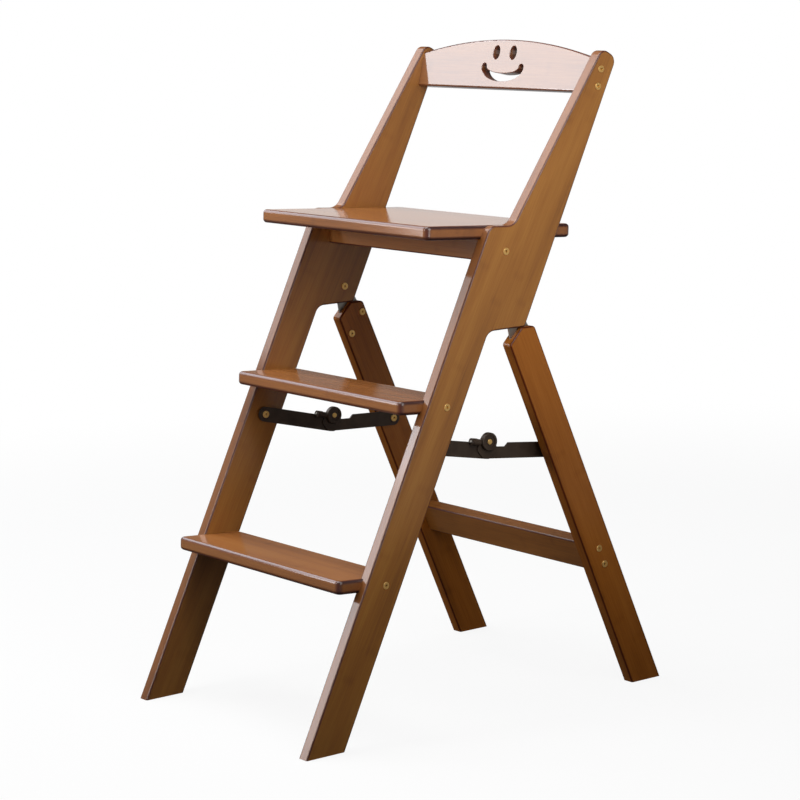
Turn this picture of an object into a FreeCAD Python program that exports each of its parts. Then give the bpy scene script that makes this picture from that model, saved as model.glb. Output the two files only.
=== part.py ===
import FreeCAD, Part
import math
import os

# Folding step stool chair, in millimetres and degrees.
# +Z is up, -Y is the front that a person climbs, +X is the right side seen from the front.
# The origin is on the floor, midway between the sides and between the front and rear feet.

# Stock and overall width
WIDTH = 400.0
STOCK = 18.0
EDGE_ROUND = 2.5
INNER = WIDTH / 2 - STOCK
SIDES = {"left": -1, "right": 1}

# Side panel, seen from the side
FRONT_LEAN = 26.1
FRONT_FOOT_Y = -295.6
FRONT_LEG_ACROSS = 59.3
PANEL_BACK_Y = -176.4
UPRIGHT_LEAN = 35.4
UPRIGHT_FRONT_Y = -397.5
PANEL_WAIST_Z = 508.8
UPRIGHT_END_ROUND = 12.0
UPRIGHT_END_Z = 854.6
SHELF_CURVE = 18.0
SHELF_NOSE = 14.0
WAIST_CURVE = 15.0
WAIST_NOSE = 6.0

# Steps and seat, which fall a little toward the back
TREAD_FALL = 4.0
STEP_DEPTH = 98.0
STEP_NOSING = 40.0
LOWER_STEP_Z = 217.3
MIDDLE_STEP_Z = 432.7
SEAT_Z = 651.0
SEAT_FRONT_Y = -72.9
SEAT_DEPTH = 238.0
TREAD_CORNER = 8.0
TREAD_ROUND = 5.0
TREAD_LET_IN = 6.0
TREAD_HALF = INNER + TREAD_LET_IN
SCREW_BEHIND_NOSE = 66.0

# Rail under the seat
SEAT_RAIL_Y = 120.0
SEAT_RAIL_HEIGHT = 30.0
RAIL_ROUND = 2.5

# Backrest board
BACK_THICK = 15.0
BACK_LEAN = 14.7
BACK_FOOT_Y = 198.1
BACK_FOOT_Z = 804.2
BACK_END_HEIGHT = 47.2
BACK_MIDDLE_HEIGHT = 67.9
EYE_APART = 36.0
EYE_WIDE = 14.0
EYE_TALL = 19.0
EYE_UP = 49.6
MOUTH_UP = 29.4
MOUTH_HALF = (45.0, 19.4)
LIP_HALF = (34.6, 8.4)
SMILE_RIM_ROUND = 0.8
BACK_SCREWS_UP = (9.0, 32.0)
BACK_SCREW_DEEP = 5.0

# Rear legs and the rail between them
REAR_LEAN = 22.05
REAR_FOOT_Y = 244.6
REAR_LEG_ACROSS = 50.5
FOLD_ANGLE = 46.0
LEG_TOP_GAP = 0.3
HEEL_ROUND = 6.0
KNEE_ROUND = 4.0
NOSE_ROUND = 5.0
REAR_RAIL_Z = 184.4
REAR_RAIL_HEIGHT = 43.0
REAR_SCREW_APART = 24.6

# Hinge between panel and rear leg
PIVOT = (58.0, 532.0)
PLATE_THICK = 3.0
PLATE_BOLTS = ((67.2, 463.9), (86.5, 493.0))
PLATE_ROUNDS = (8.0, 5.5)
PIVOT_ROUND = 10.5
PANEL_SLOT = 3.4
LEG_SLOT = 3.2
LEG_SLOT_CLEAR = 0.15
SWING_CLEAR = 0.7
SWING_REACH = (-30.0, 27.0)
SWING_ROUND = 6.0
SWING_PAST_WAIST = 10.0
RUN = 0.05

# Screws and bolts
SCREW_HEAD = 4.7
SCREW_HEAD_TALL = 1.6
SCREW_PROUD = 0.6
SCREW_RIM_ROUND = 0.5
SCREW_SHANK = 2.75
SCREW_LONG = 42.0
BOLT_HEAD = 5.0
BOLT_SHANK = 3.0
BOLT_LONG = 14.0
SOCKET = 2.0
SOCKET_DEEP = 2.6

# Folding stays, two flat arms on each side
STAY_FRONT = (-86.7, 369.0)
STAY_REAR = (133.1, 335.2)
STAY_SPLIT = 112.7
STAY_RISE = {"left": 2.0, "right": 8.7}
STAY_LAYER = {"left": -177.5, "right": 172.0}
ARM_THICK = 2.0
ARM_HALF = 10.4
ARM_PAST = 7.0
ARM_TIP_ROUND = 8.0
ARM_GAP = 0.1
EAR = 8.8
PIVOT_ABOVE_ARM = 12.8
NOTCH_DEEP = 5.2
NOTCH_END = 32.3
NOTCH_RAMP = 6.0
LOBE_THICK = 1.6
LOBE_CIRCLES = ((0.0, 0.0, 12.0), (-12.2, -10.8, 3.8), (-3.2, -18.6, 4.4), (3.2, -18.6, 4.4),
                (12.0, -9.0, 4.0))
CAP_ROUND = 12.1
CAP_THICK = 5.0
CAP_RIM_ROUND = 1.4
CAP_DISH = 8.2
CAP_DISH_DEEP = 1.2
RIVET_TAIL = 4.5
RIVET_TAIL_TALL = 1.0
RIVET_HEAD = 3.6
RIVET_HEAD_TALL = 1.1
RIVET_HEAD_ROUND = 0.7
BARREL_FROM = 14.8
BARREL_TO = 29.5
BARREL_ROUND = 4.3
COLLAR_ROUND = 4.9
COLLAR_LONG = 9.0
BARREL_BELOW = 1.9
BARREL_OUT = 4.3
PIN_ROUND = 2.1
PIN_LONG = 14.0
PIN_PROUD = 1.0
PIN_TIP_ROUND = 0.6
OPEN_PIVOT_GAP = 0.3
SPACER_ROUND = 5.5

UP = FreeCAD.Vector(0, 0, 1)
ACROSS = FreeCAD.Vector(1, 0, 0)
TOUCH = 0.01
PAST = 1.0


def tangent(degrees):
    return math.tan(math.radians(degrees))


def spot(y, z, x=0.0):
    return FreeCAD.Vector(x, y, z)


def prism(points, x_from, x_to):
    """A flat outline in the side view, given thickness along X."""
    corners = [spot(y, z, x_from) for y, z in points]
    wire = Part.makePolygon(corners + corners[:1])
    return Part.Face(wire).extrude(ACROSS * (x_to - x_from))


def rod(y, z, radius, x_from, x_to):
    """A round bar along X."""
    low, high = sorted((x_from, x_to))
    return Part.makeCylinder(radius, high - low, spot(y, z, low), ACROSS)


def hull(circles, x_from, x_to):
    """A plate round circles (y, z, radius) that are listed counter-clockwise."""
    ends = []
    for (y1, z1, r1), (y2, z2, r2) in zip(circles, circles[1:] + circles[:1]):
        gap = math.hypot(y2 - y1, z2 - z1)
        along = ((y2 - y1) / gap, (z2 - z1) / gap)
        lean = (r1 - r2) / gap
        side = math.sqrt(1 - lean * lean)
        out = (along[0] * lean + along[1] * side, along[1] * lean - along[0] * side)
        ends.append(((y1 + r1 * out[0], z1 + r1 * out[1]), (y2 + r2 * out[0], z2 + r2 * out[1])))
    edges = []
    for index, (y, z, radius) in enumerate(circles):
        start, stop = ends[index - 1][1], ends[index][0]
        first = math.atan2(start[1] - z, start[0] - y)
        last = math.atan2(stop[1] - z, stop[0] - y)
        turn = (last - first) % (2 * math.pi)
        middle = first + turn / 2
        crest = spot(y + radius * math.cos(middle), z + radius * math.sin(middle), x_from)
        edges.append(Part.Arc(spot(*start, x_from), crest, spot(*stop, x_from)).toShape())
        edges.append(Part.makeLine(spot(*stop, x_from), spot(*ends[index][1], x_from)))
    return Part.Face(Part.Wire(edges)).extrude(ACROSS * (x_to - x_from))


def round_corners(shape, radii):
    """Round the edges that run along X through the points (y, z), each with its own radius."""
    for (y, z), radius in radii.items():
        edges = [edge for edge in shape.Edges if all(
            abs(v.Point.y - y) < TOUCH and abs(v.Point.z - z) < TOUCH for v in edge.Vertexes)]
        shape = shape.makeFillet(radius, edges)
    return shape


def soften_sides(shape, radius=EDGE_ROUND):
    """Round the outline of a side-view board on both of its faces, but not along the floor."""
    corners = [v.Point.x for v in shape.Vertexes]
    edges = []
    for edge in shape.Edges:
        xs = [v.Point.x for v in edge.Vertexes]
        on_face = max(xs) < min(corners) + TOUCH or min(xs) > max(corners) - TOUCH
        on_floor = max(v.Point.z for v in edge.Vertexes) < TOUCH
        if on_face and not on_floor:
            edges.append(edge)
    return shape.makeFillet(radius, edges)


def turned(shape, angle, y, z):
    """The shape turned about X at the origin, then carried to (y, z)."""
    moved = shape.copy()
    moved.rotate(FreeCAD.Vector(), ACROSS, angle)
    moved.translate(spot(y, z))
    return moved


def drill(shape, tools):
    for tool in tools:
        shape = shape.cut(tool)
    return shape


def socket_fastener(y, z, x_head, toward, head, shank, length):
    """A socket screw along X: its head starts at x_head and its shank runs toward +1 or -1."""
    x_seat = x_head + toward * SCREW_HEAD_TALL
    solid = rod(y, z, head, x_head, x_seat)
    rim = [edge for edge in solid.Edges if abs(edge.BoundBox.XMin - x_head) < TOUCH
           and abs(edge.BoundBox.XMax - x_head) < TOUCH]
    solid = solid.makeFillet(SCREW_RIM_ROUND, rim)
    solid = solid.fuse(rod(y, z, shank, x_seat, x_seat + toward * length))
    corners = [(y + SOCKET * math.cos(math.radians(a)), z + SOCKET * math.sin(math.radians(a)))
               for a in range(0, 360, 60)]
    low, high = sorted((x_head - toward, x_head + toward * SOCKET_DEEP))
    return solid.cut(prism(corners, low, high))


def outer_screw(y, z, side):
    """A screw whose head is let into the outer face of a panel or leg."""
    x_head = side * (WIDTH / 2 + SCREW_PROUD)
    return socket_fastener(y, z, x_head, -side, SCREW_HEAD, SCREW_SHANK, SCREW_LONG)


def screw_hole(y, z, side):
    x_seat = side * (WIDTH / 2 + SCREW_PROUD - SCREW_HEAD_TALL)
    seat = rod(y, z, SCREW_HEAD, x_seat, side * (WIDTH / 2 + PAST))
    return seat.fuse(rod(y, z, SCREW_SHANK, x_seat, x_seat - side * SCREW_LONG))


def inner_bolt(y, z, side):
    """A bolt whose head lies on the inner face of a panel or leg."""
    x_head = side * (INNER - SCREW_HEAD_TALL)
    return socket_fastener(y, z, x_head, side, BOLT_HEAD, BOLT_SHANK, BOLT_LONG)


def inner_hole(y, z, side):
    return rod(y, z, BOLT_SHANK, side * (INNER - PAST), side * (INNER + BOLT_LONG))


# Places in the side view that several parts share

def front_edge(z):
    return FRONT_FOOT_Y + tangent(FRONT_LEAN) * z


def leg_back(z):
    return front_edge(z) + FRONT_LEG_ACROSS


def panel_back(z):
    return PANEL_BACK_Y + tangent(FRONT_LEAN) * z


def upright_front(z):
    return UPRIGHT_FRONT_Y + tangent(UPRIGHT_LEAN) * z


def rear_leg_front(z):
    return REAR_FOOT_Y - tangent(REAR_LEAN) * z


def tread_spot(front_y, front_z, behind, below):
    """A point of a step or of the seat, measured from the top of its front edge."""
    fall = math.radians(TREAD_FALL)
    y = front_y + behind * math.cos(fall) - below * math.sin(fall)
    z = front_z - behind * math.sin(fall) - below * math.cos(fall)
    return y, z


def shelf_cross(foot_y, lean):
    """Where an edge that leans back from foot_y meets the plane of the seat's top."""
    slope, fall = tangent(lean), tangent(TREAD_FALL)
    z = (SEAT_Z + fall * (SEAT_FRONT_Y - foot_y)) / (1 + fall * slope)
    return foot_y + slope * z, z


STEP_FRONTS = {
    "lower_step": (front_edge(LOWER_STEP_Z) - STEP_NOSING, LOWER_STEP_Z),
    "middle_step": (front_edge(MIDDLE_STEP_Z) - STEP_NOSING, MIDDLE_STEP_Z),
}
STEP_SCREWS = [tread_spot(*front, SCREW_BEHIND_NOSE, STOCK / 2) for front in STEP_FRONTS.values()]
RAIL_SCREW = tread_spot(SEAT_FRONT_Y, SEAT_Z, SEAT_RAIL_Y, STOCK + SEAT_RAIL_HEIGHT / 2)


def backrest_spot(up, deep):
    """A point of the backrest board, measured from the foot of its front face."""
    lean = math.radians(BACK_LEAN)
    y = BACK_FOOT_Y + up * math.sin(lean) + deep * math.cos(lean)
    return y, BACK_FOOT_Z + up * math.cos(lean) - deep * math.sin(lean)


def rear_rail_spot(up):
    """A point on the centre line of the rear legs, measured up from the middle of the rail."""
    lean = math.radians(REAR_LEAN)
    middle = rear_leg_front(REAR_RAIL_Z) + REAR_LEG_ACROSS / 2
    return middle - up * math.sin(lean), REAR_RAIL_Z + up * math.cos(lean)


BACK_SCREWS = [backrest_spot(up, BACK_SCREW_DEEP) for up in BACK_SCREWS_UP]
REAR_SCREWS = [rear_rail_spot(up) for up in (-REAR_SCREW_APART / 2, REAR_SCREW_APART / 2)]


# Wooden parts

def hinge_outline(grow, x_from, x_to):
    """The steel tongue's outline, which the slots repeat a little larger."""
    circles = [(*PIVOT, PIVOT_ROUND + grow)]
    circles += [(*place, size + grow) for place, size in zip(PLATE_BOLTS, PLATE_ROUNDS)]
    return hull(circles, x_from, x_to)


def swept_slot(side):
    """The slot that lets the tongue swing inside the panel."""
    x_from = side * (WIDTH / 2 - STOCK / 2) - PANEL_SLOT / 2
    y, z = PIVOT
    mouth_z = PANEL_WAIST_Z - SWING_PAST_WAIST
    circles = [(y, z, PIVOT_ROUND + SWING_CLEAR)]
    circles += [(y + reach, mouth_z, SWING_ROUND) for reach in SWING_REACH]
    return hull(circles, x_from, x_from + PANEL_SLOT)


def side_panel(side):
    x_from, x_to = sorted((side * WIDTH / 2, side * INNER))
    lean = math.radians((FRONT_LEAN + UPRIGHT_LEAN) / 2)
    end_y = (upright_front(UPRIGHT_END_Z) + panel_back(UPRIGHT_END_Z)) / 2
    cut = tangent(math.degrees(lean))

    def end_corner(foot_y, edge_lean):
        slope = tangent(edge_lean)
        z = (UPRIGHT_END_Z + cut * (end_y - foot_y)) / (1 + cut * slope)
        return foot_y + slope * z, z

    waist_front = (leg_back(PANEL_WAIST_Z), PANEL_WAIST_Z)
    waist_back = (panel_back(PANEL_WAIST_Z), PANEL_WAIST_Z)
    top_back = end_corner(PANEL_BACK_Y, FRONT_LEAN)
    top_front = end_corner(UPRIGHT_FRONT_Y, UPRIGHT_LEAN)
    shelf_back = shelf_cross(UPRIGHT_FRONT_Y, UPRIGHT_LEAN)
    shelf_nose = shelf_cross(FRONT_FOOT_Y, FRONT_LEAN)
    outline = [(front_edge(0), 0), (leg_back(0), 0), waist_front, waist_back,
               top_back, top_front, shelf_back, shelf_nose]
    board = round_corners(prism(outline, x_from, x_to), {
        waist_front: WAIST_CURVE, waist_back: WAIST_NOSE, top_back: UPRIGHT_END_ROUND,
        top_front: UPRIGHT_END_ROUND, shelf_back: SHELF_CURVE, shelf_nose: SHELF_NOSE})
    board = soften_sides(board)
    holes = [tread_groove(*front, side) for front in (*STEP_FRONTS.values(), (SEAT_FRONT_Y, SEAT_Z))]
    holes += [screw_hole(y, z, side) for y, z in STEP_SCREWS + [RAIL_SCREW] + BACK_SCREWS]
    holes += [inner_hole(*PIVOT, side), inner_hole(*STAY_FRONT, side), swept_slot(side)]
    return drill(board, holes)


def tread_groove(front_y, front_z, side):
    """The groove across the inner face of a panel that holds one end of a step or of the seat."""
    x_from, x_to = sorted((side * (INNER - PAST), side * TREAD_HALF))
    groove = prism([(0, -STOCK), (SEAT_DEPTH, -STOCK), (SEAT_DEPTH, 0), (0, 0)], x_from, x_to)
    return turned(groove, -TREAD_FALL, front_y, front_z)


def tread(front_y, front_z, depth):
    """A step or the seat, its outline rounded at the corners and along both faces."""
    board = Part.makeBox(2 * TREAD_HALF, depth, STOCK, spot(0, -STOCK, -TREAD_HALF))
    upright = [edge for edge in board.Edges if edge.BoundBox.ZLength > STOCK / 2]
    board = board.makeFillet(TREAD_CORNER, upright)
    faces = [edge for edge in board.Edges if edge.BoundBox.ZLength < TOUCH]
    board = board.makeFillet(TREAD_ROUND, faces)
    return turned(board, -TREAD_FALL, front_y, front_z)


def step(name):
    board = tread(*STEP_FRONTS[name], STEP_DEPTH)
    place = STEP_SCREWS[list(STEP_FRONTS).index(name)]
    return drill(board, [screw_hole(*place, side) for side in SIDES.values()])


def rail(height, round_below):
    """A cross rail centred on the origin, its long edges rounded up to the height round_below."""
    board = Part.makeBox(2 * INNER, STOCK, height, spot(-STOCK / 2, -height / 2, -INNER))
    edges = [edge for edge in board.Edges if edge.BoundBox.XLength > INNER
             and edge.CenterOfMass.z < round_below]
    return board.makeFillet(RAIL_ROUND, edges)


def seat_rail():
    """The rail under the seat; its upper edges stay square where the seat lies on them."""
    board = turned(rail(SEAT_RAIL_HEIGHT, 0), -TREAD_FALL, *RAIL_SCREW)
    return drill(board, [screw_hole(*RAIL_SCREW, side) for side in SIDES.values()])


def rear_cross_rail():
    board = turned(rail(REAR_RAIL_HEIGHT, REAR_RAIL_HEIGHT), REAR_LEAN, *rear_rail_spot(0))
    holes = [screw_hole(*place, side) for place in REAR_SCREWS for side in SIDES.values()]
    return drill(board, holes)


def lower_half_ellipse(half):
    """The lower half of an ellipse round the mouth's ends, in the board's own plane."""
    ellipse = Part.Ellipse(FreeCAD.Vector(0, MOUTH_UP, 0), half[0], half[1])
    return Part.ArcOfEllipse(ellipse, math.pi, 2 * math.pi).toShape()


def smile_cutters():
    """Two oval holes and a curved slot with round ends, drawn flat in X and Y."""
    drop = UP * -(BACK_THICK + 2 * PAST)
    cutters = []
    for side in SIDES.values():
        centre = FreeCAD.Vector(side * EYE_APART / 2, EYE_UP, PAST)
        oval = Part.Ellipse(FreeCAD.Vector(), EYE_TALL / 2, EYE_WIDE / 2).toShape()
        oval.rotate(FreeCAD.Vector(), UP, 90)
        oval.translate(centre)
        cutters.append(Part.Face(Part.Wire(oval)).extrude(drop))
    tip = (MOUTH_HALF[0] - LIP_HALF[0]) / 2
    edges = [lower_half_ellipse(MOUTH_HALF), lower_half_ellipse(LIP_HALF)]
    for side in SIDES.values():
        middle = side * (LIP_HALF[0] + tip)
        edges.append(Part.Arc(FreeCAD.Vector(middle - tip, MOUTH_UP, 0),
                              FreeCAD.Vector(middle, MOUTH_UP + tip, 0),
                              FreeCAD.Vector(middle + tip, MOUTH_UP, 0)).toShape())
    slot = Part.Face(Part.Wire(Part.__sortEdges__(edges)))
    slot.translate(UP * PAST)
    cutters.append(slot.extrude(drop))
    return cutters


def backrest_board():
    """The backrest, drawn flat with its front face up, then stood up and leaned back."""
    foot_left = FreeCAD.Vector(-INNER, 0, 0)
    foot_right = FreeCAD.Vector(INNER, 0, 0)
    end_right = FreeCAD.Vector(INNER, BACK_END_HEIGHT, 0)
    end_left = FreeCAD.Vector(-INNER, BACK_END_HEIGHT, 0)
    crown = FreeCAD.Vector(0, BACK_MIDDLE_HEIGHT, 0)
    edges = [Part.makeLine(foot_left, foot_right), Part.makeLine(foot_right, end_right),
             Part.Arc(end_right, crown, end_left).toShape(), Part.makeLine(end_left, foot_left)]
    board = Part.Face(Part.Wire(edges)).extrude(UP * -BACK_THICK)
    outline = [edge for edge in board.Edges
               if edge.BoundBox.ZLength < TOUCH and edge.BoundBox.XLength > INNER]
    board = drill(board.makeFillet(EDGE_ROUND, outline), smile_cutters())
    rims = [edge for edge in board.Edges if edge.BoundBox.ZLength < TOUCH
            and edge.BoundBox.XLength < INNER and abs(edge.CenterOfMass.x) < INNER / 2]
    board = turned(board.makeFillet(SMILE_RIM_ROUND, rims), 90 - BACK_LEAN, BACK_FOOT_Y, BACK_FOOT_Z)
    holes = [screw_hole(*place, side) for place in BACK_SCREWS for side in SIDES.values()]
    return drill(board, holes)


def rear_leg(side):
    """A straight leg; its slanted cut lies against the panel when the stool is folded."""
    x_from, x_to = sorted((side * WIDTH / 2, side * INNER))
    below = PIVOT[1] - PANEL_WAIST_Z + LEG_TOP_GAP
    top_z = PIVOT[1] - below
    knee = (PIVOT[0] + below * tangent(FOLD_ANGLE / 2), top_z)
    slant = tangent(FOLD_ANGLE)
    lean = tangent(REAR_LEAN)
    nose_y = (REAR_FOOT_Y - lean * (knee[1] - slant * knee[0])) / (1 + lean * slant)
    nose = (nose_y, knee[1] - slant * (knee[0] - nose_y))
    heel = (rear_leg_front(top_z) + REAR_LEG_ACROSS, top_z)
    outline = [(rear_leg_front(0), 0), (rear_leg_front(0) + REAR_LEG_ACROSS, 0), heel, knee, nose]
    board = prism(outline, x_from, x_to)
    board = round_corners(board, {heel: HEEL_ROUND, knee: KNEE_ROUND, nose: NOSE_ROUND})
    board = soften_sides(board)
    slot_from = side * (WIDTH / 2 - STOCK / 2) - LEG_SLOT / 2
    holes = [hinge_outline(LEG_SLOT_CLEAR, slot_from, slot_from + LEG_SLOT)]
    holes += [screw_hole(*place, side) for place in REAR_SCREWS]
    holes += [inner_hole(*place, side) for place in (*PLATE_BOLTS, STAY_REAR)]
    return drill(board, holes)


def hinge_plate(side):
    x_from = side * (WIDTH / 2 - STOCK / 2) - PLATE_THICK / 2
    plate = hinge_outline(0, x_from, x_from + PLATE_THICK)
    holes = [rod(*PIVOT, BOLT_SHANK + RUN, x_from - PAST, x_from + PLATE_THICK + PAST)]
    holes += [inner_hole(*place, side) for place in PLATE_BOLTS]
    return drill(plate, holes)


# Folding stays

def stay_middle(name):
    """The middle pivot, found along the line between the end bolts and a little off it."""
    run = (STAY_REAR[0] - STAY_FRONT[0], STAY_REAR[1] - STAY_FRONT[1])
    length = math.hypot(*run)
    along = (run[0] / length, run[1] / length)
    rise = STAY_RISE[name]
    y = STAY_FRONT[0] + STAY_SPLIT * along[0] - rise * along[1]
    return y, STAY_FRONT[1] + STAY_SPLIT * along[1] + rise * along[0]


def arm_reach(end, middle):
    """Length of an arm's centre line from its end bolt to below the middle pivot."""
    return math.sqrt(math.dist(end, middle) ** 2 - PIVOT_ABOVE_ARM ** 2)


def arm_turn(end, middle, heading):
    """How far an arm drawn along +Y or -Y turns so that its ear meets the middle pivot."""
    reach = arm_reach(end, middle)
    seen = math.atan2(middle[1] - end[1], middle[0] - end[0])
    return math.degrees(seen - math.atan2(PIVOT_ABOVE_ARM, heading * reach))


def arm_blank(reach, heading, x_from, hole):
    """A flat arm drawn from its end bolt at the origin, with an ear for the middle pivot."""
    x_to = x_from + ARM_THICK
    tip = heading * (reach + ARM_PAST)
    bar = prism([(0, -ARM_HALF), (tip, -ARM_HALF), (tip, ARM_HALF), (0, ARM_HALF)], x_from, x_to)
    bar = round_corners(bar, {(tip, -ARM_HALF): ARM_TIP_ROUND})
    bar = bar.fuse(rod(0, 0, ARM_HALF, x_from, x_to))
    if heading < 0:
        start = heading * (reach - NOTCH_END)
        floor = ARM_HALF - NOTCH_DEEP
        past_tip = tip + heading * PAST
        notch = [(start, floor), (past_tip, floor), (past_tip, ARM_HALF + PAST),
                 (start - heading * NOTCH_RAMP, ARM_HALF + PAST)]
        bar = bar.cut(prism(notch, x_from - PAST, x_to + PAST))
    bar = bar.fuse(rod(heading * reach, PIVOT_ABOVE_ARM, EAR, x_from, x_to)).removeSplitter()
    return drill(bar, [rod(y, z, hole, x_from - PAST, x_to + PAST)
                       for y, z in ((0, 0), (heading * reach, PIVOT_ABOVE_ARM))])


def along_arm(reach, layer, radius, near, far):
    """A round bar beside the front arm, from near to far ahead of the middle pivot."""
    start = spot(reach - far, PIVOT_ABOVE_ARM - BARREL_BELOW, layer + BARREL_OUT)
    return Part.makeCylinder(radius, far - near, start, FreeCAD.Vector(0, 1, 0))


def folding_stay(name):
    """Every part of one stay, drawn in place."""
    side = SIDES[name]
    layer = STAY_LAYER[name]
    middle = stay_middle(name)
    half = ARM_THICK / 2
    rear_face = layer - half - ARM_GAP - ARM_THICK
    lobe_face = layer + half + ARM_GAP
    cap_face = lobe_face + LOBE_THICK

    reach = arm_reach(STAY_FRONT, middle)
    turn = arm_turn(STAY_FRONT, middle, 1)
    arm = arm_blank(reach, 1, layer - half, BOLT_SHANK + RUN)
    collar_from = BARREL_TO - COLLAR_LONG
    barrel = along_arm(reach, layer, BARREL_ROUND, BARREL_FROM, BARREL_TO)
    barrel = barrel.fuse(along_arm(reach, layer, COLLAR_ROUND, collar_from, BARREL_TO))
    arm = arm.cut(barrel)
    barrel = barrel.cut(along_arm(reach, layer, PIN_ROUND + RUN, BARREL_FROM - PAST, BARREL_TO + PAST))
    pin_to = BARREL_TO + PIN_PROUD
    pin = along_arm(reach, layer, PIN_ROUND, pin_to - PIN_LONG, pin_to)
    tip = [edge for edge in pin.Edges if edge.BoundBox.YMax < reach - pin_to + TOUCH]
    pin = pin.makeFillet(PIN_TIP_ROUND, tip)

    rear_reach = arm_reach(STAY_REAR, middle)
    rear_arm = arm_blank(rear_reach, -1, rear_face, BOLT_SHANK)
    chord = math.atan2(STAY_REAR[1] - STAY_FRONT[1], STAY_REAR[0] - STAY_FRONT[0])
    lobe = hull(list(LOBE_CIRCLES), lobe_face, cap_face)
    lobe = lobe.cut(rod(0, 0, BOLT_SHANK, lobe_face - PAST, cap_face + PAST))
    lobe = turned(lobe, math.degrees(chord), *middle)

    cap = rod(*middle, CAP_ROUND, cap_face, cap_face + CAP_THICK)
    rims = [edge for edge in cap.Edges if edge.BoundBox.XMin > cap_face + CAP_THICK - TOUCH]
    cap = cap.makeFillet(CAP_RIM_ROUND, rims)
    dish_face = cap_face + CAP_THICK - CAP_DISH_DEEP
    cap = drill(cap, [rod(*middle, CAP_DISH, dish_face, dish_face + CAP_THICK),
                      rod(*middle, BOLT_SHANK, cap_face - PAST, dish_face + PAST)])

    rivet = rod(*middle, BOLT_SHANK, rear_face, dish_face)
    rivet = rivet.fuse(rod(*middle, RIVET_TAIL, rear_face - RIVET_TAIL_TALL, rear_face))
    crown_face = dish_face + RIVET_HEAD_TALL
    head = rod(*middle, RIVET_HEAD, dish_face, crown_face)
    crown = [edge for edge in head.Edges if edge.BoundBox.XMin > crown_face - TOUCH]
    rivet = rivet.fuse(head.makeFillet(RIVET_HEAD_ROUND, crown))

    room = -side
    front_head = layer + room * (half + RUN)
    front_bolt = socket_fastener(*STAY_FRONT, front_head + room * SCREW_HEAD_TALL, side,
                                 BOLT_HEAD, BOLT_SHANK, abs(side * INNER - front_head) + BOLT_LONG)
    front_seat = layer - room * (half + RUN)
    front_spacer = rod(*STAY_FRONT, SPACER_ROUND, front_seat, side * INNER)
    front_spacer = front_spacer.cut(rod(*STAY_FRONT, BOLT_SHANK, front_seat - side * PAST,
                                        side * (INNER + PAST)))

    arm_faces = (rear_face, rear_face + ARM_THICK)
    room_face, wood_face = arm_faces if side > 0 else arm_faces[::-1]
    rear_bolt = socket_fastener(*STAY_REAR, room_face + room * SCREW_HEAD_TALL, side,
                                BOLT_HEAD, BOLT_SHANK, ARM_THICK)
    seat = wood_face + side * OPEN_PIVOT_GAP
    rear_spacer = rod(*STAY_REAR, SPACER_ROUND, seat, side * INNER)
    rear_spacer = rear_spacer.fuse(rod(*STAY_REAR, BOLT_SHANK, side * INNER,
                                       side * (INNER + BOLT_LONG)))
    return {
        "stay_front_arm": turned(arm, turn, *STAY_FRONT),
        "stay_barrel": turned(barrel, turn, *STAY_FRONT),
        "lock_pin": turned(pin, turn, *STAY_FRONT),
        "stay_rear_arm": turned(rear_arm, arm_turn(STAY_REAR, middle, -1), *STAY_REAR),
        "stay_lobe": lobe,
        "stay_cap": cap,
        "stay_rivet": rivet,
        "stay_rear_bolt": rear_bolt,
        "stay_front_bolts": front_bolt,
        "stay_front_spacers": front_spacer,
        "stay_rear_spacers": rear_spacer,
    }


def build():
    """Every part by its node name."""
    both = list(SIDES.values())
    parts = {
        "lower_step": step("lower_step"),
        "middle_step": step("middle_step"),
        "seat_board": tread(SEAT_FRONT_Y, SEAT_Z, SEAT_DEPTH),
        "seat_rail": seat_rail(),
        "backrest_board": backrest_board(),
        "rear_cross_rail": rear_cross_rail(),
    }
    rows = {
        "step_screws": [outer_screw(*place, side) for place in STEP_SCREWS for side in both],
        "seat_rail_screws": [outer_screw(*RAIL_SCREW, side) for side in both],
        "backrest_screws": [outer_screw(*place, side) for place in BACK_SCREWS for side in both],
        "rear_rail_screws": [outer_screw(*place, side) for place in REAR_SCREWS for side in both],
        "hinge_pivot_bolts": [inner_bolt(*PIVOT, side) for side in both],
        "hinge_plate_bolts": [inner_bolt(*place, side) for place in PLATE_BOLTS for side in both],
    }
    for name, side in SIDES.items():
        parts[f"side_panel_{name}"] = side_panel(side)
        parts[f"rear_leg_{name}"] = rear_leg(side)
        parts[f"hinge_plate_{name}"] = hinge_plate(side)
        for piece, shape in folding_stay(name).items():
            if piece.endswith("s"):
                rows.setdefault(piece, []).append(shape)
            else:
                parts[f"{piece}_{name}"] = shape
    for node, shapes in rows.items():
        parts[node] = Part.makeCompound(shapes)
    return parts


os.makedirs("parts", exist_ok=True)
for node, shape in build().items():
    shape.exportStep(f"parts/{node}.step")
    print(node, "solids", len(shape.Solids), "valid", shape.isValid(), "mm3", round(shape.Volume))
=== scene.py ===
import logging
import math
from dataclasses import dataclass
from enum import Enum
from typing import Any

import bpy
from mathutils import Matrix, Vector

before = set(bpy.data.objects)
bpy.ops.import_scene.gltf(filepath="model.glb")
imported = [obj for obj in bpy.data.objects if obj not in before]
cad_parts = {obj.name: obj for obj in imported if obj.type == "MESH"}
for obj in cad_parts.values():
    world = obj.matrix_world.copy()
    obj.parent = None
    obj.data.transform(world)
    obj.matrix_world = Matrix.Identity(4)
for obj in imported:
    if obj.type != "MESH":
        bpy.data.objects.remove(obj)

log = logging.getLogger("folding_step_stool")

NODES: dict[str, bpy.types.Object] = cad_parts
MM = 0.001
SMOOTH = {"interpolation_type": "SMOOTHSTEP"}
STAIN_AND_SHADE = {"data_type": "RGBA", "blend_type": "MULTIPLY"}
WHITE = (1.0, 1.0, 1.0, 1.0)


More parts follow.
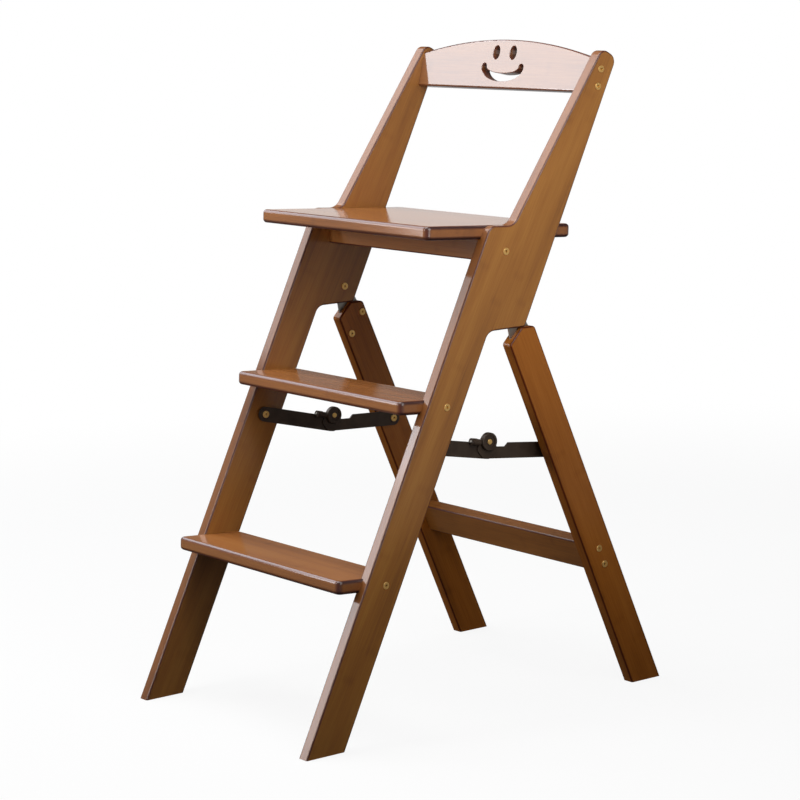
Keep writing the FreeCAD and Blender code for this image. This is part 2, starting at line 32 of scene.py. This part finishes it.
def linear(hex_colour: str) -> tuple[float, float, float, float]:
    """Turn an sRGB hex colour into the linear values that shaders take.

    Args:
        hex_colour: Six hex digits, red first.

    Returns:
        Linear red, green and blue, and an alpha of 1.
    """
    parts = [int(hex_colour[i:i + 2], 16) / 255 for i in (0, 2, 4)]
    red, green, blue = [c / 12.92 if c <= 0.04045 else ((c + 0.055) / 1.055) ** 2.4 for c in parts]
    return red, green, blue, 1.0


class Nodes:
    """The node tree of one material, light or world, filled a node at a time."""

    def __init__(self, tree: bpy.types.NodeTree) -> None:
        """Empty the tree and keep it.

        Args:
            tree: The node tree to fill.
        """
        self.tree = tree
        tree.nodes.clear()

    def add(self, kind: str, settings: dict[str, Any] | None = None,
            inputs: dict[Any, Any] | None = None) -> bpy.types.Node:
        """Add one node, set its settings and fill or link its inputs.

        Args:
            kind: The node's type name without "ShaderNode" for shader nodes.
            settings: Values of the node's own properties.
            inputs: Socket name or index to a plain value or to an output socket.

        Returns:
            The new node.
        """
        node = self.tree.nodes.new("ShaderNode" + kind)
        for name, value in (settings or {}).items():
            setattr(node, name, value)
        for key, value in (inputs or {}).items():
            socket = node.inputs[key]
            if isinstance(value, bpy.types.NodeSocket):
                self.tree.links.new(value, socket)
            else:
                socket.default_value = value
        return node


class Side(Enum):
    """The two sides of the stool, as its sitter has them."""

    LEFT = "left"
    RIGHT = "right"


@dataclass(frozen=True)
class Grain:
    """The way a board was cut: along its fibres, across them and through its thickness."""

    along: Vector
    across: Vector
    deep: Vector
    seed: float
    cut_ends: bool = False


def leaning(degrees: float) -> Vector:
    """The direction in the side view that leans back from upright by some degrees."""
    return Vector((0.0, math.sin(math.radians(degrees)), math.cos(math.radians(degrees))))


def side_grain(lean: float, seed: float) -> Grain:
    """The grain of a board that stands in the side view, its fibres along its lean.

    Args:
        lean: How far the board leans back from upright, in degrees.
        seed: Where in the pattern this board was cut.

    Returns:
        The board's grain.
    """
    along = leaning(lean)
    deep = Vector((1.0, 0.0, 0.0))
    return Grain(along, deep.cross(along), deep, seed)


def cross_grain(tilt: float, seed: float) -> Grain:
    """The grain of a board that runs from side to side.

    Args:
        tilt: The direction of its face's normal, in degrees back from upright.
        seed: Where in the pattern this board was cut.

    Returns:
        The board's grain.
    """
    along = Vector((1.0, 0.0, 0.0))
    deep = leaning(tilt)
    return Grain(along, deep.cross(along), deep, seed, cut_ends=True)


@dataclass(frozen=True)
class VarnishedBamboo:
    """Laminated bamboo board, sanded, stained brown and sprayed with varnish.

    The eye gets long strips that differ a little in tone, soft clouds and fine fibre streaks along
    them, a faint darker band where a cane had a joint, rounded edges darkened partly by stain and
    partly by painted shade, cut ends where the stain drew in deeper, and a clear coat that mirrors
    the studio softly. The fibres are drawn about twice as wide as real ones, so that they show in
    the render.
    """

    pale: str = "B27830"
    middle: str = "9A611E"
    dark: str = "6C3E0E"
    pale_stop: float = 0.95
    middle_stop: float = 0.64
    dark_stop: float = 0.36
    # Multiplied into rounded edges: partly stain, partly painted shade
    edge_stain_and_shade: str = "865036"
    side_stain: str = "FFFFFF"
    end_stain: str = "AAAEBC"
    end_from: float = 0.5
    end_full: float = 0.9

    strip_wide: float = 19.0 * MM
    glue_wide: float = 0.57 * MM
    cloud_long: float = 250.0 * MM
    cloud_wide: float = 22.22 * MM
    fibre_long: float = 60.0 * MM
    fibre_wide: float = 0.9 * MM
    fibre_shift: float = 7.0
    joint_apart: float = 260.0 * MM
    joint_long: float = 9.0 * MM

    base_tone: float = 0.12
    strip_tone: float = 0.1
    cloud_tone: float = 0.55
    fibre_tone: float = 0.45
    joint_tone: float = -0.05
    glue_tone: float = -0.04

    roughness: float = 0.55
    fibre_roughness: float = 0.12
    ripple: float = 0.08
    ripple_deep: float = 0.2 * MM
    glue_dip: float = -0.5
    sheen: float = 0.5
    coat: float = 0.65
    coat_roughness: float = 0.09
    coat_ior: float = 1.5
    peel: float = 0.05
    peel_wide: float = 6.25 * MM
    peel_deep: float = 0.4 * MM

    def material(self, name: str, grain: Grain) -> bpy.types.Material:
        """Make the material of one board.

        Args:
            name: The material's name.
            grain: How the board was cut.

        Returns:
            The finished material.
        """
        made = bpy.data.materials.new(name)
        made.use_nodes = True
        nodes = Nodes(made.node_tree)
        place = nodes.add("TexCoord").outputs["Object"]
        parts = []
        for direction in (grain.along, grain.across, grain.deep):
            dot = nodes.add("VectorMath", {"operation": "DOT_PRODUCT"}, {0: place, 1: direction})
            parts.append(dot.outputs["Value"])
        along, across, deep = parts

        strip = nodes.add("Math", {"operation": "DIVIDE"}, {0: across, 1: self.strip_wide})
        strip = nodes.add("Math", {"operation": "ADD"}, {0: strip.outputs[0], 1: grain.seed})
        number = nodes.add("Math", {"operation": "FLOOR"}, {0: strip.outputs[0]})
        tone = nodes.add("TexWhiteNoise", {"noise_dimensions": "1D"}, {"W": number.outputs[0]})
        shade = tone.outputs["Value"]
        line = nodes.add("Math", {"operation": "PINGPONG"}, {0: strip.outputs[0], 1: 0.5})
        glue = nodes.add("MapRange", None, {
            "Value": line.outputs[0], "From Max": self.glue_wide / self.strip_wide,
            "To Min": 1.0, "To Max": 0.0}).outputs[0]
        fibres = self.fibres(nodes, along, across, deep, shade)
        clouds = self.clouds(nodes, along, across, deep, grain.seed)
        joints = self.joints(nodes, along, shade, grain.seed)

        level = self.base_tone
        for pattern, share in ((shade, self.strip_tone), (clouds, self.cloud_tone),
                               (fibres, self.fibre_tone), (joints, self.joint_tone),
                               (glue, self.glue_tone)):
            level = nodes.add("Math", {"operation": "MULTIPLY_ADD"},
                              {0: pattern, 1: share, 2: level}).outputs[0]
        colour = self.stained(nodes, level, grain)

        height = nodes.add("Math", {"operation": "MULTIPLY_ADD"},
                           {0: glue, 1: self.glue_dip, 2: fibres})
        ripple = nodes.add("Bump", None, {"Strength": self.ripple, "Distance": self.ripple_deep,
                                          "Height": height.outputs[0]})
        peel = nodes.add("TexNoise", None, {"Vector": place, "Scale": 1.0 / self.peel_wide,
                                            "Detail": 1.0})
        coat_bump = nodes.add("Bump", None, {"Strength": self.peel, "Distance": self.peel_deep,
                                             "Height": peel.outputs[0]})
        rough = nodes.add("MapRange", None, {
            "Value": fibres, "To Min": self.roughness,
            "To Max": self.roughness + self.fibre_roughness})
        surface = nodes.add("BsdfPrincipled", None, {
            "Base Color": colour, "Roughness": rough.outputs[0], "Normal": ripple.outputs[0],
            "Coat Weight": self.coat, "Coat Roughness": self.coat_roughness,
            "Coat IOR": self.coat_ior, "Coat Normal": coat_bump.outputs[0],
            "Specular IOR Level": self.sheen})
        nodes.add("OutputMaterial", None, {"Surface": surface.outputs[0]})
        return made

    def fibres(self, nodes: Nodes, along: bpy.types.NodeSocket, across: bpy.types.NodeSocket,
               deep: bpy.types.NodeSocket, shade: bpy.types.NodeSocket) -> bpy.types.NodeSocket:
        """Draw fine fibres, stretched along the board and shifted from strip to strip.

        Args:
            nodes: The node tree of the material.
            along: Place along the board.
            across: Place across the board.
            deep: Place through the board's thickness.
            shade: The random value of each strip.

        Returns:
            A socket between 0 and 1.
        """
        shift = nodes.add("Math", {"operation": "MULTIPLY"}, {0: shade, 1: self.fibre_shift})
        run = nodes.add("Math", {"operation": "DIVIDE"}, {0: along, 1: self.fibre_long})
        run = nodes.add("Math", {"operation": "ADD"}, {0: run.outputs[0], 1: shift.outputs[0]})
        side = nodes.add("Math", {"operation": "DIVIDE"}, {0: across, 1: self.fibre_wide})
        depth = nodes.add("Math", {"operation": "DIVIDE"}, {0: deep, 1: self.fibre_wide})
        spot = nodes.add("CombineXYZ", None, {"X": run.outputs[0], "Y": side.outputs[0],
                                              "Z": depth.outputs[0]})
        return nodes.add("TexNoise", None, {"Vector": spot.outputs[0], "Scale": 1.0,
                                            "Detail": 3.0, "Roughness": 0.6}).outputs[0]

    def clouds(self, nodes: Nodes, along: bpy.types.NodeSocket, across: bpy.types.NodeSocket,
               deep: bpy.types.NodeSocket, seed: float) -> bpy.types.NodeSocket:
        """Draw the long soft clouds in which the stain was drawn in.

        Args:
            nodes: The node tree of the material.
            along: Place along the board.
            across: Place across the board.
            deep: Place through the board's thickness.
            seed: Where in the pattern this board was cut.

        Returns:
            A socket between 0 and 1.
        """
        run = nodes.add("Math", {"operation": "MULTIPLY"}, {0: along, 1: 1.0 / self.cloud_long})
        side = nodes.add("Math", {"operation": "MULTIPLY"}, {0: across, 1: 1.0 / self.cloud_wide})
        depth = nodes.add("Math", {"operation": "MULTIPLY_ADD"},
                          {0: deep, 1: 1.0 / self.cloud_wide, 2: seed})
        spot = nodes.add("CombineXYZ", None, {"X": run.outputs[0], "Y": side.outputs[0],
                                              "Z": depth.outputs[0]})
        return nodes.add("TexNoise", None, {"Vector": spot.outputs[0], "Scale": 1.0,
                                            "Detail": 4.0, "Roughness": 0.55}).outputs[0]

    def joints(self, nodes: Nodes, along: bpy.types.NodeSocket, shade: bpy.types.NodeSocket,
               seed: float) -> bpy.types.NodeSocket:
        """Draw the joints of the canes, at another height in each strip.

        Args:
            nodes: The node tree of the material.
            along: Place along the board.
            shade: The random value of each strip.
            seed: Where in the pattern this board was cut.

        Returns:
            A socket that is 1 in a joint and 0 away from it.
        """
        run = nodes.add("Math", {"operation": "MULTIPLY_ADD"},
                        {0: along, 1: 1.0 / self.joint_apart, 2: shade})
        run = nodes.add("Math", {"operation": "ADD"}, {0: run.outputs[0], 1: seed})
        away = nodes.add("Math", {"operation": "PINGPONG"}, {0: run.outputs[0], 1: 0.5})
        return nodes.add("MapRange", SMOOTH, {
            "Value": away.outputs[0], "From Max": self.joint_long / self.joint_apart,
            "To Min": 1.0, "To Max": 0.0}).outputs[0]

    def stained(self, nodes: Nodes, level: bpy.types.NodeSocket,
                grain: Grain) -> bpy.types.NodeSocket:
        """Colour the bamboo, with stain in edges and cut ends, and painted shade on rounded edges.

        Args:
            nodes: The node tree of the material.
            level: The pattern's tone, dark at 0 and pale at 1.
            grain: How the board was cut.

        Returns:
            The colour socket.
        """
        ramp = nodes.add("ValToRGB", None, {"Fac": level})
        ramp.color_ramp.elements[0].position = self.dark_stop
        ramp.color_ramp.elements[0].color = linear(self.dark)
        ramp.color_ramp.elements[1].position = self.pale_stop
        ramp.color_ramp.elements[1].color = linear(self.pale)
        ramp.color_ramp.elements.new(self.middle_stop).color = linear(self.middle)

        facing = nodes.add("TexCoord").outputs["Normal"]
        flat = nodes.add("VectorMath", {"operation": "DOT_PRODUCT"}, {0: facing, 1: grain.deep})
        flat = nodes.add("Math", {"operation": "ABSOLUTE"}, {0: flat.outputs["Value"]})
        side = nodes.add("Math", {"operation": "SUBTRACT"}, {0: 1.0, 1: flat.outputs[0]})
        # Rounded edges: darker halfway round each edge, partly stain and partly painted shade
        coats = [(self.slant(nodes, facing, grain.deep), self.edge_stain_and_shade),
                 (side.outputs[0], self.side_stain)]
        if grain.cut_ends:
            end = nodes.add("VectorMath", {"operation": "DOT_PRODUCT"},
                            {0: facing, 1: grain.along})
            end = nodes.add("Math", {"operation": "ABSOLUTE"}, {0: end.outputs["Value"]})
            end = nodes.add("MapRange", SMOOTH, {
                "Value": end.outputs[0], "From Min": self.end_from, "From Max": self.end_full})
            # Cut ends take deeper stain; the rounded edges across the grain get the same stain and
            # painted shade
            coats += [(end.outputs[0], self.end_stain),
                      (self.slant(nodes, facing, grain.along), self.edge_stain_and_shade)]
        colour = ramp.outputs[0]
        for share, stain in coats:
            colour = nodes.add("Mix", STAIN_AND_SHADE, {0: share, 6: colour, 7: linear(stain)}).outputs[2]
        return colour

    @staticmethod
    def slant(nodes: Nodes, facing: bpy.types.NodeSocket,
              direction: Vector) -> bpy.types.NodeSocket:
        """Tell how far a surface faces between along and across a direction.

        Args:
            nodes: The node tree of the material.
            facing: The surface's normal.
            direction: One of the board's own directions.

        Returns:
            A socket that is 0 on flat faces and 1 halfway round an edge.
        """
        dot = nodes.add("VectorMath", {"operation": "DOT_PRODUCT"}, {0: facing, 1: direction})
        part = nodes.add("Math", {"operation": "ABSOLUTE"}, {0: dot.outputs["Value"]})
        turned = nodes.add("Math", {"operation": "ARCCOSINE"}, {0: part.outputs[0]})
        doubled = nodes.add("Math", {"operation": "MULTIPLY"}, {0: turned.outputs[0], 1: 2.0})
        return nodes.add("Math", {"operation": "SINE"}, {0: doubled.outputs[0]}).outputs[0]


@dataclass(frozen=True)
class Metal:
    """A small steel part, turned or stamped, and then plated or blackened.

    The eye gets a tone that drifts a little, fine scuffs in its gloss, and painted shade that
    darkens sockets and narrow gaps.
    """

    name: str
    colour: str
    worn: str
    metallic: float
    roughness: float
    grit: float
    wear: float
    blotch_wide: float = 18.18 * MM
    worn_from: float = 0.35
    worn_full: float = 0.75
    scuff_less: float = 0.08
    scuff_more: float = 0.14
    scuff: float = 0.12
    scuff_deep: float = 0.1 * MM
    # Painted shade in sockets and narrow gaps: how far it reaches, its darkest factor, and where
    # it fades
    recess: float = 2.5 * MM
    recess_shade: float = 0.15
    recess_shade_from: float = 0.25
    recess_shade_gone: float = 0.7

    def material(self) -> bpy.types.Material:
        """Make the material of this finish."""
        made = bpy.data.materials.new(self.name)
        made.use_nodes = True
        nodes = Nodes(made.node_tree)
        place = nodes.add("TexCoord").outputs["Object"]
        blotch = nodes.add("TexNoise", None, {"Vector": place, "Scale": 1.0 / self.blotch_wide,
                                              "Detail": 4.0})
        patch = nodes.add("MapRange", None, {
            "Value": blotch.outputs[0], "From Min": self.worn_from, "From Max": self.worn_full,
            "To Min": 0.0, "To Max": self.wear})
        drifting = nodes.add("Mix", {"data_type": "RGBA"}, {
            0: patch.outputs[0], 6: linear(self.colour), 7: linear(self.worn)})
        # Painted shade: an occlusion mask darkens the colour in sockets and narrow gaps, where
        # little light gets in
        open_share = nodes.add("AmbientOcclusion", {"samples": 8}, {
            "Distance": self.recess}).outputs["AO"]
        painted_shade_factor = nodes.add("MapRange", SMOOTH, {
            "Value": open_share, "From Min": self.recess_shade_from, "From Max": self.recess_shade_gone,
            "To Min": self.recess_shade, "To Max": 1.0})
        colour = nodes.add("VectorMath", {"operation": "SCALE"}, {
            0: drifting.outputs[2], "Scale": painted_shade_factor.outputs[0]})
        scuffs = nodes.add("TexNoise", None, {"Vector": place, "Scale": 1.0 / self.grit,
                                              "Detail": 3.0, "Roughness": 0.7})
        rough = nodes.add("MapRange", None, {
            "Value": scuffs.outputs[0], "To Min": self.roughness - self.scuff_less,
            "To Max": self.roughness + self.scuff_more})
        bump = nodes.add("Bump", None, {"Strength": self.scuff, "Distance": self.scuff_deep,
                                        "Height": scuffs.outputs[0]})
        surface = nodes.add("BsdfPrincipled", None, {
            "Base Color": colour.outputs["Vector"], "Metallic": self.metallic,
            "Roughness": rough.outputs[0], "Normal": bump.outputs[0]})
        nodes.add("OutputMaterial", None, {"Surface": surface.outputs[0]})
        return made


# Panels: their narrow edges took a shade more stain than their faces
PANEL_VARNISH = VarnishedBamboo(side_stain="D8C6B4")

# Rails: paler strips with a plain varnish
RAIL_VARNISH = VarnishedBamboo(pale="BE7A34", middle="A66624", dark="744012")

# Backrest: thick gloss that mirrors a lamp almost like glass, over darker strips
BACK_VARNISH = VarnishedBamboo(pale="9C6630", middle="845020", dark="603812", coat=1.0,
                               coat_roughness=0.07, coat_ior=2.15, edge_stain_and_shade="C89878",
                               end_stain="FFFFFF")

# Steps and seat: full varnish, sprayed flat, with softly darker arrises of stain and painted shade
TREAD_VARNISH = VarnishedBamboo(pale="BC7A32", middle="A46222", dark="744010", coat=0.9,
                                coat_roughness=0.11, edge_stain_and_shade="966248", end_stain="D2CED4")

# Rear legs: a redder cut with thin varnish
REAR_VARNISH = VarnishedBamboo(pale="B46E2A", middle="9C5A1A", dark="6A380A", sheen=0.1,
                               coat=0.4)

# Screws and bolts: turned steel with bright yellow plating, clear-coated
BRASS_PLATE = Metal("brass_plated_steel", "FFD080", "DCA652", 0.8, 0.38, 0.8 * MM, 0.25)

# Stays: stamped steel under a brown-black oxide skin, which is only partly metallic
BLACK_STEEL = Metal("blackened_steel", "3E3026", "685848", 0.3, 0.42, 0.5 * MM, 0.3)

# Hinge tongues and lock pins: stamped or drawn steel, dull grey from the zinc bath
ZINC_PLATE = Metal("zinc_plated_steel", "A6A29A", "7E7A72", 1.0, 0.36, 0.6 * MM, 0.3)


def dress(names: list[str], material: bpy.types.Material) -> None:
    """Give CAD nodes a material in place of the one they came with.

    Args:
        names: The nodes' names.
        material: The material that they all get.
    """
    for name in names:
        mesh = NODES[name].data
        mesh.materials.clear()
        mesh.materials.append(material)
        log.info("%s in %s", name, material.name)


@dataclass
class FrontFrame:
    """Side panels, steps, seat, seat rail and backrest, with their screws.

    The directions of its boards in the side view are in degrees, as the part's source has them.
    """

    panel_lean: float = 26.1
    grain_turn: float = 3.0
    tread_fall: float = 4.0
    backrest_lean: float = 14.7

    def dress(self, brass: bpy.types.Material) -> None:
        """Give every board its own cut of bamboo and every screw its plating.

        Args:
            brass: The material of screws and bolts.
        """
        panel_grain = self.panel_lean + self.grain_turn
        boards = {
            "side_panel_left": (PANEL_VARNISH, side_grain(panel_grain, 3.3)),
            "side_panel_right": (PANEL_VARNISH, side_grain(panel_grain, 11.7)),
            "lower_step": (TREAD_VARNISH, cross_grain(self.tread_fall, 21.2)),
            "middle_step": (TREAD_VARNISH, cross_grain(self.tread_fall, 34.6)),
            "seat_board": (TREAD_VARNISH, cross_grain(self.tread_fall, 47.1)),
            "seat_rail": (RAIL_VARNISH, cross_grain(self.tread_fall - 90, 52.9)),
            "backrest_board": (BACK_VARNISH, cross_grain(self.backrest_lean - 90, 61.4)),
        }
        for name, (finish, grain) in boards.items():
            dress([name], finish.material(f"bamboo_{name}", grain))
        dress(["step_screws", "seat_rail_screws", "backrest_screws", "hinge_pivot_bolts",
               "stay_front_bolts"], brass)


@dataclass
class RearFrame:
    """Rear legs, the rail between them and their hinge plates."""

    leg_lean: float = 22.05

    def dress(self, brass: bpy.types.Material, zinc: bpy.types.Material) -> None:
        """Give every board its own cut of bamboo and the metal its plating.

        Args:
            brass: The material of screws and bolts.
            zinc: The material of the hinge tongues.
        """
        boards = {
            "rear_leg_left": (REAR_VARNISH, side_grain(-self.leg_lean, 73.8)),
            "rear_leg_right": (REAR_VARNISH, side_grain(-self.leg_lean, 88.2)),
            "rear_cross_rail": (RAIL_VARNISH, cross_grain(-self.leg_lean - 90, 95.5)),
        }
        for name, (finish, grain) in boards.items():
            dress([name], finish.material(f"bamboo_{name}", grain))
        dress(["rear_rail_screws", "hinge_plate_bolts"], brass)
        dress(["hinge_plate_left", "hinge_plate_right"], zinc)


@dataclass
class FoldingStays:
    """The flat steel arms on both sides, with their barrels, lobes, caps and pins."""

    black_parts: tuple[str, ...] = ("front_arm", "rear_arm", "lobe", "cap", "barrel")
    brass_parts: tuple[str, ...] = ("rivet", "rear_bolt")

    def dress(self, brass: bpy.types.Material, zinc: bpy.types.Material) -> None:
        """Blacken the stays and plate their rivets, bolts and pins.

        Args:
            brass: The material of rivets and bolts.
            zinc: The material of the lock pins.
        """
        black = BLACK_STEEL.material()
        dress(["stay_front_spacers", "stay_rear_spacers"], black)
        for side in Side:
            dress([f"stay_{part}_{side.value}" for part in self.black_parts], black)
            dress([f"stay_{part}_{side.value}" for part in self.brass_parts], brass)
            dress([f"lock_pin_{side.value}"], zinc)


@dataclass(frozen=True)
class SoftBox:
    """A studio lamp: an even white sheet that glows on one side."""

    name: str
    place: tuple[float, float, float]
    aim: tuple[float, float, float]
    wide: float
    tall: float
    watts: float
    tint: str = "FFFFFF"
    roll: float = 0.0
    spread: float = 180.0

    def hang(self) -> None:
        """Put the lamp in the scene, turned about its own axis by its roll."""
        data = bpy.data.lights.new(self.name, "AREA")
        data.shape = "RECTANGLE"
        data.size = self.wide
        data.size_y = self.tall
        data.energy = self.watts
        data.color = linear(self.tint)[:3]
        data.spread = math.radians(self.spread)
        made = bpy.data.objects.new(self.name, data)
        bpy.context.scene.collection.objects.link(made)
        facing = (Vector(self.aim) - Vector(self.place)).to_track_quat("-Z", "Y")
        rolled = Matrix.Rotation(math.radians(self.roll), 4, "Z")
        made.matrix_world = (Matrix.Translation(Vector(self.place))
                             @ facing.to_matrix().to_4x4() @ rolled)


@dataclass
class Studio:
    """A white sweep, soft lamps and the camera that took the photograph.

    Varnish and metal mirror a dim room that turns pale toward the sweep behind the stool.
    """

    place: tuple[float, float, float] = (2.9984, -2.1862, 1.0199)
    azimuth: float = 53.72577
    elevation: float = 9.51380
    roll: float = -1.87249
    lens: float = 125.823
    sensor: float = 36.0

    floor_half: float = 2.8
    floor_drop: float = 0.3 * MM
    paper: str = "E8E8E8"
    shadow_reach: float = 2.4
    shadow_share: float = 0.1

    dark_reach: float = 1.0
    pale_reach: float = 1.7
    floor_near: float = 0.05
    floor_far: float = 0.2
    floor_front: float = -0.4
    floor_back: float = 0.6

    room_lit: float = 0.1
    room_dim: float = 0.08
    front_level: float = 0.15
    pale_level: float = 0.35
    glare_level: float = 0.92
    turn: float = 0.3
    sweep_low: float = 0.01
    sweep_high: float = 0.075

    lamps: tuple[SoftBox, ...] = (
        SoftBox("left_box", (-1.827, -0.455, 1.688), (-0.231, 0.483, 0.938), 1.78, 1.25, 24.5,
                "F4F9FF"),
        SoftBox("left_strip", (-1.634, -1.415, 0.897), (-0.038, -0.477, 0.147), 0.2, 0.8, 3.6,
                "FCFBFF", 23.0),
        SoftBox("front_box", (-0.5, -2.1, 1.1), (0.0, -0.1, 0.4), 0.6, 0.6, 11.0),
        SoftBox("right_box", (0.75, -0.1, 1.1), (0.2, 0.0, 0.8), 0.6, 0.6, 4.8),
        SoftBox("right_grid_box", (1.5, -0.35, 0.72), (-0.18, 0.0, 0.5), 0.6, 0.6, 0.5,
                spread=55.0),
        SoftBox("top_box", (-0.3, -0.4, 2.2), (0.0, -0.1, 0.5), 1.0, 1.0, 23.0),
    )

    def camera(self) -> None:
        """Put the camera where the photograph was taken from."""
        turn, rise = math.radians(self.azimuth), math.radians(self.elevation)
        back = Vector((math.sin(turn) * math.cos(rise), -math.cos(turn) * math.cos(rise),
                       math.sin(rise)))
        right = (-back).cross(Vector((0.0, 0.0, 1.0))).normalized()
        up = right.cross(-back)
        tilt = math.radians(self.roll)
        level = math.cos(tilt) * right + math.sin(tilt) * up
        upright = -math.sin(tilt) * right + math.cos(tilt) * up
        data = bpy.data.cameras.new("camera")
        data.lens = self.lens
        data.sensor_width = self.sensor
        made = bpy.data.objects.new("camera", data)
        bpy.context.scene.collection.objects.link(made)
        turned = Matrix((level, upright, back)).transposed().to_4x4()
        made.matrix_world = Matrix.Translation(Vector(self.place)) @ turned
        bpy.context.scene.camera = made

    def floor(self) -> None:
        """Lay a white floor that keeps a faint shadow and throws little light back."""
        half = self.floor_half
        mesh = bpy.data.meshes.new("floor")
        low = -self.floor_drop
        mesh.from_pydata([(-half, -half, low), (half, -half, low), (half, half, low),
                          (-half, half, low)], [], [(0, 1, 2, 3)])
        made = bpy.data.objects.new("floor", mesh)
        bpy.context.scene.collection.objects.link(made)
        paper = bpy.data.materials.new("white_paper_sweep")
        paper.use_nodes = True
        nodes = Nodes(paper.node_tree)
        place = nodes.add("TexCoord").outputs["Object"]
        reach = nodes.add("VectorMath", {"operation": "LENGTH"}, {0: place}).outputs["Value"]
        white = nodes.add("MapRange", SMOOTH, {
            "Value": reach, "From Min": self.shadow_reach / 2, "From Max": self.shadow_reach,
            "To Min": 1.0 - self.shadow_share, "To Max": 1.0})
        lit = nodes.add("BsdfDiffuse", None, {"Color": linear(self.paper)})
        glow = nodes.add("Emission", None, {"Color": WHITE, "Strength": 1.0})
        seen = nodes.add("MixShader", None, {0: white.outputs[0], 1: lit.outputs[0],
                                             2: glow.outputs[0]})
        path = nodes.add("LightPath").outputs
        depth = nodes.add("SeparateXYZ", None, {0: place}).outputs["Y"]
        mirrored = nodes.add("MapRange", SMOOTH, {
            "Value": depth, "From Min": self.floor_front, "From Max": self.floor_back,
            "To Min": self.floor_far, "To Max": self.pale_level})
        far = nodes.add("Mix", {"data_type": "FLOAT"}, {
            0: path["Is Glossy Ray"], 2: self.floor_far, 3: mirrored.outputs[0]})
        bounce = nodes.add("MapRange", SMOOTH, {
            "Value": reach, "From Min": self.dark_reach, "From Max": self.pale_reach,
            "To Min": self.floor_near, "To Max": far.outputs[0]})
        thrown = nodes.add("Emission", None, {"Color": WHITE, "Strength": bounce.outputs[0]})
        straight = nodes.add("Math", {"operation": "MAXIMUM"},
                             {0: path["Is Camera Ray"], 1: path["Is Transmission Ray"]})
        mixed = nodes.add("MixShader", None, {0: straight.outputs[0], 1: thrown.outputs[0],
                                              2: seen.outputs[0]})
        nodes.add("OutputMaterial", None, {"Surface": mixed.outputs[0]})
        mesh.materials.append(paper)

    def world(self) -> None:
        """Set a white background, and for mirrors a dim room above a pale sweep."""
        world = bpy.data.worlds.new("studio")
        bpy.context.scene.world = world
        world.use_nodes = True
        nodes = Nodes(world.node_tree)
        heading = nodes.add("TexCoord").outputs["Generated"]
        parts = nodes.add("SeparateXYZ", None, {0: heading}).outputs
        across = nodes.add("MapRange", SMOOTH, {
            "Value": parts["X"], "From Min": -self.turn, "From Max": self.turn,
            "To Min": self.glare_level, "To Max": self.pale_level})
        behind = nodes.add("MapRange", SMOOTH, {
            "Value": parts["Y"], "From Min": -self.turn, "From Max": self.turn,
            "To Min": self.front_level, "To Max": across.outputs[0]})
        sweep = nodes.add("MapRange", SMOOTH, {
            "Value": parts["Z"], "From Min": self.sweep_low, "From Max": self.sweep_high,
            "To Min": behind.outputs[0], "To Max": self.room_dim})
        path = nodes.add("LightPath").outputs
        dim = nodes.add("Mix", {"data_type": "FLOAT"}, {
            0: path["Is Glossy Ray"], 2: self.room_lit, 3: sweep.outputs[0]})
        straight = nodes.add("Math", {"operation": "MAXIMUM"},
                             {0: path["Is Camera Ray"], 1: path["Is Transmission Ray"]})
        strength = nodes.add("Mix", {"data_type": "FLOAT"}, {
            0: straight.outputs[0], 2: dim.outputs[0], 3: 1.0})
        room = nodes.add("Background", None, {"Color": WHITE, "Strength": strength.outputs[0]})
        nodes.add("OutputWorld", None, {"Surface": room.outputs[0]})

    def build(self) -> None:
        """Set up floor, room, lamps and camera."""
        bpy.context.scene.view_settings.view_transform = "Standard"
        self.floor()
        self.world()
        for lamp in self.lamps:
            lamp.hang()
            log.info("%s of %.0f W hung", lamp.name, lamp.watts)
        self.camera()


def main() -> None:
    """Dress the stool and set up the studio around it."""
    logging.basicConfig(level=logging.INFO, format="%(message)s")
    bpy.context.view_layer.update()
    brass = BRASS_PLATE.material()
    zinc = ZINC_PLATE.material()
    FrontFrame().dress(brass)
    RearFrame().dress(brass, zinc)
    FoldingStays().dress(brass, zinc)
    Studio().build()


if __name__ == "__main__":
    main()
